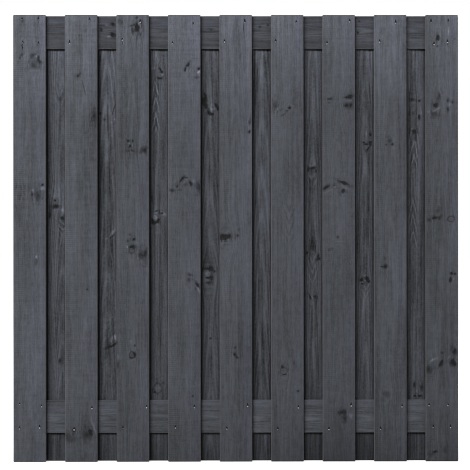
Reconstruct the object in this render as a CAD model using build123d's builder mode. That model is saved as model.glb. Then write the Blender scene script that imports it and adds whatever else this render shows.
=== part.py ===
"""Board-on-board garden screen panel, upright, in millimetres.

Two horizontal rails carry a front layer and a back layer of upright boards. The back boards
stand behind the gaps of the front ones and lap past their edges, so that the panel can't be
seen through but lets the wind pass. Every board is nailed to both rails from its own side.

+X runs to the right along the panel, -Y is the front and +Z is up. The origin is on the
ground, under the middle of the panel.
"""
from build123d import *

import os
from math import atan2, degrees

# The whole panel
panel_width = 1793.0
panel_height = 1800.0

# Upright boards: planed, with every edge chamfered
board_width = 132.0
board_thickness = 15.0
board_chamfer = 3.5
front_count = 9

# Rails: planed, laid flat between the two layers and a little short of the panel's sides
rail_width = 132.5
rail_thickness = 15.0
rail_chamfer = 2.5
rail_end_inset = 2.0
top_rail_drop = 2.5
bottom_rail_height = 115.0

# Nails: flat head, square shank and four-sided point. The head is punched below the face,
# and the point stops inside the rail.
head_diameter = 6.2
head_thickness = 1.2
head_sides = 12
head_sink = 1.6
shank_width = 2.2
point_length = 4.0
point_width = 0.5
point_cover = 1.4

# Set-out of the nails: in from a board's long edges and in from a rail's long edges
nail_side = 26.0
nail_end = 24.0

# How far each front nail strays from its set-out point, to the right and up, one row for a
# board from the left. The outer boards have four nails at a rail, the others two.
top_strays = (
    ((10.5, 6.5), (-4.5, 6.5), (13.0, -2.5), (-3.5, -6.5)),
    ((-6.0, 4.5), (-6.5, -4.5)),
    ((-9.5, -3.5), (-2.0, 9.5)),
    ((-4.0, -11.0), (-7.0, -4.5)),
    ((-3.5, -3.0), (-5.0, 1.5)),
    ((-3.5, -5.0), (-6.5, 2.5)),
    ((4.0, -1.5), (-7.0, -5.0)),
    ((-18.0, -7.5), (-3.0, 1.5)),
    ((-3.0, -3.5), (-13.5, 0.0), (9.5, -8.5), (-16.0, 0.0)),
)
bottom_strays = (
    ((-0.5, 7.5), (7.5, -1.5), (-1.0, -6.5), (0.0, -2.5)),
    ((3.0, -9.5), (10.5, -10.5)),
    ((15.0, -5.5), (0.0, -5.0)),
    ((0.0, -5.5), (3.0, -3.5)),
    ((7.0, -1.5), (3.0, -8.5)),
    ((4.0, -7.5), (1.0, -12.0)),
    ((9.0, 0.0), (-0.5, -10.5)),
    ((7.0, -4.0), (0.5, -10.5)),
    ((-11.5, 1.0), (-15.5, 1.0), (5.0, -3.0), (-5.5, -3.5)),
)

# Where the boards and rails stand
back_count = front_count - 1
board_pitch = (panel_width - board_width) / back_count
front_centres = [(i - back_count / 2) * board_pitch for i in range(front_count)]
back_centres = [(i - (back_count - 1) / 2) * board_pitch for i in range(back_count)]
rail_length = panel_width - 2 * rail_end_inset
rail_heights = {
    "top_rail": panel_height - top_rail_drop - rail_width / 2,
    "bottom_rail": bottom_rail_height + rail_width / 2,
}
rail_strays = {"top_rail": top_strays, "bottom_rail": bottom_strays}

# The two nailing faces, each with x to the right as its nailer sees it, and y up
face_depth = rail_thickness / 2 + board_thickness
front_face = Plane(origin=(0, -face_depth, 0), x_dir=(1, 0, 0), z_dir=(0, -1, 0))
back_face = Plane(origin=(0, face_depth, 0), x_dir=(-1, 0, 0), z_dir=(0, 1, 0))

# Depths along a nail, from the face down
under_head = head_sink + head_thickness
point_end = board_thickness + rail_thickness - point_cover
point_start = point_end - point_length
point_angle = degrees(atan2((shank_width - point_width) / 2, point_length))

# Nail corners where a board crosses a rail, to the right and up from the crossing's middle
nail_reach = (board_width / 2 - nail_side, rail_width / 2 - nail_end)
four_corners = ((-1, 1), (1, 1), (-1, -1), (1, -1))
rising_pair = ((1, 1), (-1, -1))
falling_pair = ((-1, 1), (1, -1))


def crossing_nails(centre_x, centre_z, corners, strays):
    """Nail places where one board crosses one rail, on the board's nailing face."""
    return [
        (centre_x + side * nail_reach[0] + right, centre_z + level * nail_reach[1] + up)
        for (side, level), (right, up) in zip(corners, strays)
    ]


def front_nail_places(number, rail_name):
    """Nails of a front board, counted from 0 at the left, at one rail."""
    rows = rail_strays[rail_name]
    corners = rising_pair
    strays = rows[min(number, len(rows) - 2)]
    if number in (0, front_count - 1):
        corners = four_corners
        strays = rows[0] if number == 0 else rows[-1]
    return crossing_nails(front_centres[number], rail_heights[rail_name], corners, strays)


def back_nail_places(number, rail_name):
    """Nails of a back board, counted from 0 at the left, at one rail, as seen from behind.

    Seen from the front they lie on the same diagonal as the front nails, which keeps the two
    sets well apart inside the rail.
    """
    steady = ((0, 0), (0, 0))
    centre_x = -back_centres[number]
    return crossing_nails(centre_x, rail_heights[rail_name], falling_pair, steady)


def nails(face, places, mode=Mode.ADD):
    """Adds nails driven square to a face, or cuts the holes that they make."""
    with BuildSketch(face.offset(-head_sink)) as heads:
        with Locations(*places):
            RegularPolygon(head_diameter / 2, head_sides)
    extrude(heads.sketch, amount=-head_thickness, mode=mode)
    with BuildSketch(face.offset(-under_head)) as shanks:
        with Locations(*places):
            Rectangle(shank_width, shank_width)
    extrude(shanks.sketch, amount=under_head - point_start, mode=mode)
    with BuildSketch(face.offset(-point_start)) as points:
        with Locations(*places):
            Rectangle(shank_width, shank_width)
    extrude(points.sketch, amount=-point_length, taper=point_angle, mode=mode)


def upright_board(face, centre_x, places):
    """Adds one upright board, drilled by its own nails, to the part being built."""
    with BuildSketch(face) as outline:
        with Locations((centre_x, panel_height / 2)):
            Rectangle(board_width, panel_height)
    blank = extrude(outline.sketch, amount=-board_thickness)
    chamfer(blank.edges(), board_chamfer)
    with BuildSketch(face) as dimples:
        with Locations(*places):
            RegularPolygon(head_diameter / 2, head_sides)
    extrude(dimples.sketch, amount=-head_sink, mode=Mode.SUBTRACT)
    nails(face, places, mode=Mode.SUBTRACT)


def save(piece, name):
    """Labels one finished piece and writes it to its own file."""
    piece.label = name
    export_step(piece, f"parts/{name}.step")


os.makedirs("parts", exist_ok=True)

# Front boards
for number in range(front_count):
    spots = [p for rail_name in rail_heights for p in front_nail_places(number, rail_name)]
    with BuildPart() as front_board:
        upright_board(front_face, front_centres[number], spots)
    save(front_board.part, f"front_board_{number + 1}")

# Back boards
for number in range(back_count):
    spots = [p for rail_name in rail_heights for p in back_nail_places(number, rail_name)]
    with BuildPart() as back_board:
        upright_board(back_face, -back_centres[number], spots)
    save(back_board.part, f"back_board_{number + 1}")

# Rails and the nails in them
for rail_name, rail_z in rail_heights.items():
    front_spots = [p for i in range(front_count) for p in front_nail_places(i, rail_name)]
    back_spots = [p for i in range(back_count) for p in back_nail_places(i, rail_name)]

    with BuildPart() as rail:
        with BuildSketch(Plane.YZ.offset(-rail_length / 2)):
            with Locations((0, rail_z)):
                Rectangle(rail_thickness, rail_width)
        extrude(amount=rail_length)
        chamfer(rail.edges(), rail_chamfer)
        nails(front_face, front_spots, mode=Mode.SUBTRACT)
        nails(back_face, back_spots, mode=Mode.SUBTRACT)
    save(rail.part, rail_name)

    with BuildPart() as front_nails:
        nails(front_face, front_spots)
    save(front_nails.part, f"{rail_name}_front_nails")

    with BuildPart() as back_nails:
        nails(back_face, back_spots)
    save(back_nails.part, f"{rail_name}_back_nails")
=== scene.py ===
"""Finishes the garden screen panel: stained boards and rails, nails, floor, light and camera.

Everything is in metres in the panel's own frame: +X to the right along it, -Y out of its front
and +Z up. Each board and rail is planed softwood under a dark stain. Its growth rings, knots
and planer marks are worked out from where a point lies in the piece, so that faces, edges and
sawn ends belong together.
"""

import math
import random
from dataclasses import dataclass
from typing import NamedTuple

import bmesh
import bpy
from mathutils import Matrix, Vector


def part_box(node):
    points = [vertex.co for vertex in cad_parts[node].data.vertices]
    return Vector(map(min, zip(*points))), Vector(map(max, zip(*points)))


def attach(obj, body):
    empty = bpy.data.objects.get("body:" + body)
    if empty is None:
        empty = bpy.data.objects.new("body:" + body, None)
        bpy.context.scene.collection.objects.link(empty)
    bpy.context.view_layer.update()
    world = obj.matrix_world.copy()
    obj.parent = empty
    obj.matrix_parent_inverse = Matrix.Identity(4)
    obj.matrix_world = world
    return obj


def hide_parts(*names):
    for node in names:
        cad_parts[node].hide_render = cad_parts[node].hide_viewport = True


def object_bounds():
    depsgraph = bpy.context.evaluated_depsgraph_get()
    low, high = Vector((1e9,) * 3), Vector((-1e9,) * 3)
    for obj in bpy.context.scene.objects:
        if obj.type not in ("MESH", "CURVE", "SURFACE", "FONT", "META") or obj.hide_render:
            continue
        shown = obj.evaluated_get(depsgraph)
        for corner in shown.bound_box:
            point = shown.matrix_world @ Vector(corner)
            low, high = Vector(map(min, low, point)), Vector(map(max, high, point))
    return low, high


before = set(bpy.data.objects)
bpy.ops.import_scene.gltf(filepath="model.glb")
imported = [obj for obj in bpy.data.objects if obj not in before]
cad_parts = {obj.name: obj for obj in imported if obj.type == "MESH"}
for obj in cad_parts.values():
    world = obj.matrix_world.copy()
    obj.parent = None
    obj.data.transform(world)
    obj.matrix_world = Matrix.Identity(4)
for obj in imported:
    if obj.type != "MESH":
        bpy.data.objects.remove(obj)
cad_low, cad_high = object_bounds()
front_y = cad_low.y
middle_z = (cad_low.z + cad_high.z) / 2

# The photograph in its own pixels, and where the middle of the panel's front lies in it
photo_side = 470
photo_middle_x = 235.9
photo_middle_y = 238.35
metres_per_pixel = 0.004029
camera_distance = 6.1
camera_yaw = math.radians(-0.32)
camera_roll = math.radians(0.045)
sensor_width = 36.0

# Rounded arrises of the planed boards and rails
board_round = 0.0036
rail_round = 0.0018
round_steps = 4

# Nails: crowned head, ringed shank and a point
head_radius = 0.0031
head_thickness = 0.0012
head_crown = 0.0003
shank_radius = 0.00115
point_length = 0.004
first_shank_ring = 0.007
shank_ring_gap = 0.0016
shank_ring_count = 8
shank_ring_proud = 0.00012
shank_ring_rise = 0.0002
nail_sides = 16
nail_smooth_below = math.radians(40)

# Cutters for the dents and splits stand a little proud of the face that they open. A dent fits
# the head at its floor, and it flares and is torn upwards by a different factor each time.
cutter_proud = 0.0004
dent_sides = 24
dent_fit = 1.02
dent_flares = (1.1, 1.3)
dent_tears = (3.0, 5.2)
dent_seed = 7
split_depth = 0.0040
split_steps = 8
split_bends = 9
split_tip = 0.0001

# A knot's darkening reaches this many of its half widths from its middle, give or take half
# the wobble
knot_reach = 4
knot_wobble = 2.8

# Knots from this half width on, in millimetres, turn the grain aside, over a spot so many times
# as wide and as tall as they are
grain_bender = 6.0
bend_spread = 1.6
bend_across = 2.5
bend_along = 6

# How much darker or lighter than the wood a knot of core 1 or -1 is
knot_depth = 1.3
light_knot_depth = 1.7

# From one planer mark to the next
planer_pitch = 0.0082

# Painted light and shade on upright boards: the height from which painted light lightens them, the
# rise over which it does, and the height from which painted shade darkens them down to the ground
painted_light_from = 1.24
painted_light_over = 0.56
painted_shade_from = 0.45

# Painted shade where the front layer laps over a back board: how deep in from the nailed face the
# shown one lies, and how far from the board's middle the painted shade darkens, up to the painted
# shadow at its left
lapped_face = (0.0130, 0.0145)
overlap_shade_side = (0.0295, 0.0368)
overlap_shadow_seam = (-0.0366, -0.0330)

# The painted shade in the dents: how deep in from the nailed face it starts and ends, and how far
# out towards a board's edge it may lie
dent_mouth = (0.0001, 0.0007)
dent_floor = (0.003, 0.004)
dent_margin = (-0.006, -0.005)

# How near a board's edge its arris is darker and worn, partly with a painted highlight, and how near its
# ends the sawn wood is dark
arris_margin = (-0.0045, -0.0015)
sawn_end = (0.0015, 0.0045)

# The crowns of the nail heads, out from the panel's middle plane
nail_crowns = (0.02040, 0.02065)

# Stains, as the wood shows them in even light
grey_stain = (0.0510, 0.0560, 0.0622, 1)
blue_stain = (0.0528, 0.0562, 0.0700, 1)
# Worn wood on the arrises, lightened partly as a painted highlight
worn_wood_and_highlight = (0.1150, 0.1110, 0.1040, 1)
dull_steel = (0.04, 0.04, 0.045, 1)
bare_steel = (0.38, 0.38, 0.38, 1)


def on_panel(x, y, depth):
    """Where a pixel of the photograph lies on the upright plane at that depth, as X and Z."""
    spread = metres_per_pixel * (camera_distance + depth - front_y) / camera_distance
    return (x - photo_middle_x) * spread, middle_z + (photo_middle_y - y) * spread


# Materials

class Value:
    """A value on a surface. Python's operators on it add Math nodes to its finish."""

    def __init__(self, finish, socket):
        self.finish = finish
        self.socket = socket

    def math(self, operation, *values):
        return self.finish.node("ShaderNodeMath", {"operation": operation}, dict(enumerate(values)))

    def __add__(self, other):
        return self.math("ADD", self, other)

    def __sub__(self, other):
        return self.math("SUBTRACT", self, other)

    def __rsub__(self, other):
        return self.math("SUBTRACT", other, self)

    def __mul__(self, other):
        return self.math("MULTIPLY", self, other)

    def __truediv__(self, other):
        return self.math("DIVIDE", self, other)

    def __pow__(self, power):
        return self.math("POWER", self, power)

    def __abs__(self):
        return self.math("ABSOLUTE", self)

    __radd__ = __add__
    __rmul__ = __mul__

    def root(self):
        return self.math("SQRT", self)

    def sine(self):
        return self.math("SINE", self)

    def at_most(self, other):
        return self.math("MINIMUM", self, other)

    def at_least(self, other):
        return self.math("MAXIMUM", self, other)

    def step(self, start, end, first, last):
        """first up to start and last from end on, with a smooth step between."""
        settings = {"interpolation_type": "SMOOTHSTEP", "clamp": False}
        inputs = {"Value": self, "From Min": start, "From Max": end, "To Min": first, "To Max": last}
        return self.finish.node("ShaderNodeMapRange", settings, inputs)

    def rise(self, start, end):
        """From 0 up to 1."""
        return self.step(start, end, 0.0, 1.0)

    def fall(self, start, end):
        """From 1 down to 0."""
        return self.step(start, end, 1.0, 0.0)


class Finish:
    """One material, made of the nodes that its methods add."""

    def __init__(self, name):
        self.material = bpy.data.materials.new(name)
        self.material.use_nodes = True
        self.tree = self.material.node_tree
        self.tree.nodes.clear()
        self.point = self.node("ShaderNodeTexCoord", output="Object")

    def node(self, kind, settings=None, inputs=None, output=0):
        """Adds any node, sets it up, feeds its sockets and returns one of its outputs."""
        made = self.tree.nodes.new(kind)
        for name, setting in (settings or {}).items():
            setattr(made, name, setting)
        for name, value in (inputs or {}).items():
            if isinstance(value, Value):
                self.tree.links.new(value.socket, made.inputs[name])
            else:
                made.inputs[name].default_value = value
        return Value(self, made.outputs[output]) if made.outputs else None

    def point_parts(self):
        """X, Y and Z of the point, in metres in the panel's frame."""
        return [self.node("ShaderNodeSeparateXYZ", None, {0: self.point}, axis) for axis in "XYZ"]

    def vector(self, x, y, z):
        return self.node("ShaderNodeCombineXYZ", None, {0: x, 1: y, 2: z})

    def spot(self, x, z, wide, tall, lean=0.0):
        """1 in the middle of a spot on the face, falling steadily to 0 at its half width to the
        side and its half height up and down. The spot leans to the right by an angle, and goes
        right through the board."""
        through = 1000
        inputs = {"Vector": self.point, "Location": (x, 0, z), "Rotation": (0, lean, 0)}
        inputs["Scale"] = (wide, through, tall)
        place = self.node("ShaderNodeMapping", {"vector_type": "TEXTURE"}, inputs)
        return self.node("ShaderNodeTexGradient", {"gradient_type": "SPHERICAL"}, {"Vector": place}, 1)

    def noise(self, x, y, z, detail=2.0, roughness=0.5):
        """Noise about 0, mostly within half a unit, with one wave to each unit of x, y and z."""
        inputs = {"Vector": self.vector(x, y, z), "Scale": 1.0}
        inputs.update({"Detail": detail, "Roughness": roughness})
        return self.node("ShaderNodeTexNoise", None, inputs) - 0.5

    def blend(self, share, first, second):
        """Mixes two colours."""
        inputs = {0: share, 6: first, 7: second}
        return self.node("ShaderNodeMix", {"data_type": "RGBA"}, inputs, 2)

    def scaled(self, colour, factor):
        """A colour made lighter or darker by a value."""
        return self.node("ShaderNodeVectorMath", {"operation": "SCALE"}, {0: colour, "Scale": factor})

    def surface(self, inputs, height):
        """Ends the material: a principled surface with a relief of that height in metres."""
        relief = self.node("ShaderNodeBump", None, {"Distance": 1.0, "Height": height})
        shader = self.node("ShaderNodeBsdfPrincipled", None, {**inputs, "Normal": relief})
        self.node("ShaderNodeOutputMaterial", None, {"Surface": shader})
        return self.material


class Knot(NamedTuple):
    """A knot or a part of one: its middle in the photograph, its half width in millimetres, how
    many times as tall as it is wide, its lean to the right in degrees, and how dark its core and
    its rim are. A core below 0 is a light mark."""
    x: float
    y: float
    radius: float
    tall: float = 1.0
    lean: float = 0.0
    core: float = 0.4
    rim: float = 0.0


class Line(NamedTuple):
    """A crack from its top to its bottom in the photograph, its half width in millimetres and
    how dark it is. Below 0 it is a light line."""
    x_top: float
    y_top: float
    x_bottom: float
    y_bottom: float
    width: float
    dark: float


class Flame(NamedTuple):
    """Nested points in the grain: their middle, top and bottom in the photograph, how many there
    are (below 0 where they point down), how light they are (below 0 where they are dark), how
    steep they are, and their half width in millimetres."""
    x: float
    y_top: float
    y_bottom: float
    rings: float
    depth: float
    steep: float = 3.0
    width: float = 20.0


class Split(NamedTuple):
    """A split along the grain: its place and ends in the photograph, its width in millimetres."""
    x: float
    y_top: float
    y_bottom: float
    width: float


@dataclass
class Timber:
    """What sets one board or rail apart from the next.

    seed picks its own grain, tone is how light it is and blue how cool. How light it is comes
    partly from the wood and partly from painted light and shade: the boards are set mostly darker
    from left to right and the top rail darker than the bottom one. Its pith lies so far to the right
    of its middle and so far behind its nailed face, in metres, and taper is how fast it comes
    nearer up the grain. ring_gap is from one growth ring to the next, in metres.
    ring_depth, streaks, specks and ripple are how strong the rings, the streaks, the specks and
    the planer marks are. lift and fade are how much painted light lightens its top and painted
    shade darkens its foot, lap how dark the painted shade is where the front layer laps over it,
    and edge how dark its arrises are.
    """
    seed: float
    tone: float = 1.0
    blue: float = 0.5
    pith: tuple = (0.0, 0.06)
    ring_gap: float = 0.0030
    ring_depth: float = 0.08
    taper: float = 0.02
    streaks: float = 0.7
    lift: float = 0.75
    fade: float = 0.22
    lap_shade: float = 0.5
    edge: float = 0.0
    ripple: float = 1.0
    specks: float = 0.45
    knots: tuple = ()
    lines: tuple = ()
    flames: tuple = ()
    splits: tuple = ()


@dataclass
class Lie:
    """How a board or rail lies. nailed_y is the face that was nailed and shown_y the face that
    the photograph shows. Across the grain it reaches half_width to both sides of middle, and
    along the grain it runs from start to end."""
    nailed_y: float
    shown_y: float
    middle: float
    half_width: float
    start: float
    end: float
    upright: bool


class StainedWood(Finish):
    """Planed softwood under the stain, for one board or rail, made up layer by layer."""

    def __init__(self, name, timber, lie):
        super().__init__(name)
        self.timber = timber
        self.lie = lie
        self.x, self.y, self.z = self.point_parts()
        if lie.upright:
            self.across = self.x - lie.middle
            self.along = self.z
        else:
            self.across = self.z - lie.middle
            self.along = self.x
        self.inward = abs(self.y - lie.nailed_y)
        self.first_layer = timber.seed * 3.7

    def grain(self, across, along, layer, detail=2.0, roughness=0.5):
        """Noise about 0 with one wave to each unit across and along. Each layer has its own."""
        return self.noise(across, along, self.first_layer + layer, detail, roughness)

    def drift(self, along, layer):
        """Noise about 0 that changes along the grain alone."""
        return self.noise(self.first_layer, along, self.first_layer + layer, 1.0)

    def start_grain(self):
        """The noise that knots share, the turned grain, and a few dark smudges."""
        across, along = self.across, self.along
        self.wobble = self.grain(across * 70, along * 45, 0, 1.0)
        self.blotches = self.grain(across * 55, along * 35, 8)
        self.turned = across + 0.012 * self.grain(across * 6, along * 1.4, 5, 1.0)
        self.dark = self.grain(across * 30, along * 7, 1).rise(0.12, 0.42) * 0.2

    def add_knots(self):
        """Knots darken the wood round them. The big ones turn the grain aside, which is more
        disturbed near them."""
        faint = 0.8 * self.blotches.rise(-0.15, 0.2)
        self.near = 0
        for knot in self.timber.knots:
            knot_x, knot_z = on_panel(knot.x, knot.y, self.lie.shown_y)
            lean = math.radians(knot.lean)
            radius = knot.radius / 1000
            reach = knot_reach * radius
            spot = self.spot(knot_x, knot_z, reach, reach * knot.tall, lean)
            ring = (1 - spot) * (knot_reach + knot_wobble * self.wobble)
            core = ring.fall(0.2, 1.45)
            halo = ring.fall(0.8, 3.0)
            depth = knot.core * (knot_depth if knot.core > 0 else light_knot_depth)
            self.dark = self.dark + (core + halo * faint) * depth
            if knot.rim:
                self.dark = self.dark + abs(ring - 1.0).fall(0.0, 0.4) * knot.rim
            if knot.radius >= grain_bender and knot.core > 0:
                self.bend_grain(knot_x, knot_z, radius * (1 + abs(math.sin(lean)) * (knot.tall - 1)))
                self.near = self.near + halo - core

    def bend_grain(self, knot_x, knot_z, radius):
        """Turns the grain aside round a knot."""
        across = bend_spread * bend_across * radius
        along = bend_spread * bend_along * radius
        if self.lie.upright:
            bend = self.spot(knot_x, knot_z, across, along)
            side = self.x - knot_x
        else:
            bend = self.spot(knot_x, knot_z, along, across)
            side = self.z - knot_z
        self.turned = self.turned - side * bend * bend

    def add_lines(self):
        """Cracks and light lines, which taper off within a few millimetres of their ends."""
        past, short = 0.004, 0.006
        for line in self.timber.lines:
            top_x, top_z = on_panel(line.x_top, line.y_top, self.lie.shown_y)
            low_x, low_z = on_panel(line.x_bottom, line.y_bottom, self.lie.shown_y)
            slope = (top_x - low_x) / (top_z - low_z)
            aside = abs(self.x - low_x - (self.z - low_z) * slope) * (1000 / line.width)
            above = self.z.rise(low_z - past, low_z + short)
            within = above * self.z.fall(top_z - short, top_z + past)
            self.dark = self.dark + aside.fall(0.3, 1.2) * within * line.dark

    def add_patches(self):
        """Broad patches where the wood took the stain up differently."""
        self.patches = self.grain(self.across * 13, self.along * 2.4, 4)

    def add_rings(self):
        """Growth rings about a wandering pith behind the face, light where their dense late wood
        takes less stain."""
        pith_across, pith_behind = self.timber.pith
        wander = self.along * self.timber.taper + 0.010 * self.drift(self.along * 1.3, 2)
        aside = self.turned - pith_across
        from_pith = (aside ** 2 + (self.inward + pith_behind + wander) ** 2).root()
        crooked = 1.2 * self.grain(self.turned * 30, self.along * 3, 3)
        phase = from_pith * (1 / self.timber.ring_gap) + crooked
        self.rings = (0.5 + 0.5 * (phase * (2 * math.pi)).sine()) ** 2.2 - 0.35

    def add_flames(self):
        """Nested points where the saw met the rings at a slant."""
        tip, fade = 0.000002, 0.03
        self.points = 0
        for flame in self.timber.flames:
            flame_x, high = on_panel(flame.x, flame.y_top, self.lie.shown_y)
            low = on_panel(flame.x, flame.y_bottom, self.lie.shown_y)[1]
            aside = ((self.turned + (self.lie.middle - flame_x)) ** 2 + tip).root()
            slope = math.copysign(flame.steep, flame.rings)
            climb = self.along + aside * slope + 0.12 * self.blotches * aside
            pitch = (high - low) / abs(flame.rings)
            waves = (climb * (2 * math.pi / pitch) + 4 * self.wobble).sine()
            window = self.along.rise(low, low + fade) * self.along.fall(high - fade, high)
            half_width = flame.width / 1000
            window = window * aside.fall(0.4 * half_width, half_width)
            self.points = self.points + ((0.5 + 0.5 * waves) ** 3 - 0.30) * window * flame.depth

    def add_fibres(self):
        """Streaks along the grain, fine fibres, grain torn out by the knots, and specks."""
        turned, along, inward = self.turned, self.along, self.inward
        self.streaks = self.grain(turned * 80, along * 2.6, inward * 60, 4.0, 0.7)
        self.fibres = self.grain(turned * 400, along * 24, inward * 300, 2.0, 0.6)
        self.torn = self.grain(turned * 200, along * 60, 7, 2.0, 0.6) * (self.near + 0.1)
        self.specks = self.grain(turned * 160, along * 110, 12, 1.0)

    def add_planer_marks(self):
        """Marks across the grain, clearest towards the left edge."""
        across, along = self.across, self.along
        waves = (along * (2 * math.pi / planer_pitch) + 2.5 * self.grain(across * 9, along * 3, 0)).sine()
        waves = waves * across.fall(-0.045, 0.0) * self.drift(along * 5, 9).rise(-0.1, 0.1)
        self.chatter = waves * 0.1 + 0.25 * self.grain(across * 7, along * 110, 10, 1.0)

    def lightness(self):
        """How light the wood is before the stain lies unevenly on it."""
        timber = self.timber
        light = 1 + timber.streaks * self.streaks * (1 + 0.9 * self.near)
        light = light + timber.ring_depth * self.rings * (1 + 3 * self.patches + self.near)
        light = light + 0.6 * self.fibres + 1.0 * self.patches + 0.5 * self.blotches
        light = light - 1.5 * self.torn + timber.specks * self.specks
        light = light + timber.ripple * self.chatter + self.points
        return light.at_least(0.1) * (1 - self.dark.at_most(0.93)) * timber.tone

    def painted_light_and_sawn_ends(self, light):
        """An upright board is lighter towards its top as painted light and darker towards the ground as
        painted shade, and the stain is thicker on the sawn ends."""
        timber, lie, along = self.timber, self.lie, self.along
        if lie.upright:
            top = ((along - painted_light_from) / painted_light_over).at_least(0)
            light = light * (1 + timber.lift * top ** 2)
            foot = ((painted_shade_from - along) / painted_shade_from).at_least(0)
            light = light * (1 - timber.fade * foot ** 2)
        from_end = (along - lie.start).at_most(lie.end - along)
        return light * (1 - 0.7 * from_end.fall(*sawn_end))

    def painted_shade(self, light, beside):
        """Painted shade where the layers overlap, darkest at the left as a painted shadow, and
        painted shade in the dents over the nails.
        """
        half_width = self.lie.half_width
        # Painted shade on the overlapped face towards its edges, nearly twice as dark at the left as a
        # painted shadow
        overlap_shade = self.inward.rise(*lapped_face) * self.timber.lap_shade
        shadow_side = 1 + 0.85 * self.across.fall(-0.001, 0.001)
        light = light * (1 - overlap_shade * beside.rise(*overlap_shade_side) * shadow_side)
        # Painted shadow at the left, from where the front board's edge casts it outwards
        light = light * (1 - 1.9 * overlap_shade * self.across.fall(*overlap_shadow_seam))
        # Painted shade in the dents over the nails
        dents = self.inward.rise(*dent_mouth) * self.inward.fall(*dent_floor)
        dents = dents * beside.fall(*(half_width + margin for margin in dent_margin))
        return light * (1 - 0.92 * dents)

    def finished(self):
        """The material: its colour, sheen and relief."""
        timber, across = self.timber, self.across
        self.start_grain()
        self.add_knots()
        self.add_lines()
        self.add_patches()
        self.add_rings()
        self.add_flames()
        self.add_fibres()
        self.add_planer_marks()
        light = self.painted_light_and_sawn_ends(self.lightness())
        beside = abs(across)
        light = self.painted_shade(light, beside)

        # The arrises are darker by the timber's edge; the stain wears off them, and the lighter worn wood
        # there is partly a painted highlight
        arris = beside.rise(*(self.lie.half_width + margin for margin in arris_margin))
        light = light * (1 - timber.edge * arris)
        wear_and_highlight = self.grain(across * 20, self.along * 9, 6, 3.0) + 0.6 - timber.edge
        wear_and_highlight = arris * wear_and_highlight.at_least(0)

        # It is cooler to the right and towards the top
        coolness = timber.blue * (across.rise(-0.01, 0.05) + 0.3) + 0.2
        coolness = coolness + 1.0 * self.patches + 1.0 * self.streaks
        coolness = coolness + 0.5 * (self.z - 1.3).at_least(0)
        stain = self.blend(coolness.at_least(0).at_most(1), grey_stain, blue_stain)
        colour = self.blend(wear_and_highlight * 0.7, self.scaled(stain, light), worn_wood_and_highlight)
        height = 0.0001 * self.rings + 0.0008 * self.streaks + 0.0002 * self.fibres
        height = height - 0.0012 * self.dark
        height = height + 0.0006 * timber.ripple * self.chatter - 0.0006 * self.torn
        roughness = 0.72 - 0.10 * self.rings + 0.2 * self.fibres
        inputs = {"Base Color": colour, "Roughness": roughness, "Specular IOR Level": 0.2}
        return self.surface(inputs, height)


def nail_steel():
    """Dull stainless steel under the stain, worn bare on the crowns of some heads, and of fewer
    at the panel's foot."""
    finish = Finish("nail_steel")
    x, y, z = finish.point_parts()
    specks = finish.noise(x * 500, y * 500, z * 500)
    washed = 0.12 - 0.17 * z.rise(0.8, 1.0)
    bare = (2.0 * specks + 1.2 * finish.noise(x * 9, y * 9, z * 9, 0.0) + washed).rise(-0.12, 0.1)
    bare = bare * abs(y).rise(*nail_crowns)
    steel = finish.blend(bare, dull_steel, bare_steel)
    inputs = {"Base Color": steel, "Metallic": 0.3 * bare, "Roughness": 0.45 + 0.3 * specks}
    return finish.surface(inputs, 0.00002 * specks)


# Modelling

def as_piece(bm, name, material):
    """Makes a shown piece of a bmesh that lies where the piece does."""
    bmesh.ops.recalc_face_normals(bm, faces=bm.faces)
    mesh = bpy.data.meshes.new(name)
    bm.to_mesh(mesh)
    bm.free()
    mesh.materials.append(material)
    piece = bpy.data.objects.new(name, mesh)
    bpy.context.scene.collection.objects.link(piece)
    return piece


def stands_for(piece, node):
    """Puts a piece in its CAD node's place."""
    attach(piece, "root")
    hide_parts(node)


def planed_bar(low, high, rounding):
    """A straight bar between two corners, all its edges rounded."""
    bm = bmesh.new()
    bmesh.ops.create_cube(bm, size=1)
    bmesh.ops.scale(bm, vec=high - low, verts=bm.verts)
    bmesh.ops.translate(bm, vec=(low + high) / 2, verts=bm.verts)
    bmesh.ops.bevel(
        bm, geom=bm.edges[:], offset=rounding, segments=round_steps, profile=0.5,
        affect="EDGES", material=-1, clamp_overlap=True,
    )
    return bm


def carve(piece, cutters):
    """Cuts a bmesh of closed shapes out of a piece for good."""
    tool = as_piece(cutters, "tool", piece.data.materials[0])
    cut = piece.modifiers.new("cut", "BOOLEAN")
    cut.object = tool
    cut.solver = "EXACT"
    cut.use_self = True
    bpy.context.view_layer.update()
    shaped = piece.evaluated_get(bpy.context.evaluated_depsgraph_get())
    carved = bpy.data.meshes.new_from_object(shaped)
    piece.modifiers.clear()
    whole = piece.data
    piece.data = carved
    bpy.data.meshes.remove(whole)
    bpy.data.objects.remove(tool)


def punch_marks(places, face_y, head_y, rng):
    """The dents over a board's nails, down to the undersides of their heads, each torn a
    different way up the grain."""
    bm = bmesh.new()
    outward = math.copysign(1, face_y - head_y)
    mouth_y = face_y + outward * cutter_proud
    seat_y = head_y - outward * head_thickness
    deep = abs(mouth_y - seat_y)
    turn = Matrix.Rotation(math.radians(-90) * outward, 4, "X")
    for x, z in places:
        middle = Vector((x, (mouth_y + seat_y) / 2, z))
        made = bmesh.ops.create_cone(
            bm, segments=dent_sides, radius1=head_radius * dent_fit,
            radius2=head_radius * rng.uniform(*dent_flares), depth=deep, cap_ends=True,
            matrix=Matrix.Translation(middle) @ turn,
        )
        tear = rng.uniform(*dent_tears)
        for vert in made["verts"]:
            if abs(vert.co.y - seat_y) > deep / 2 and vert.co.z > z:
                vert.co.z = z + (vert.co.z - z) * tear
    return bm


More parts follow.
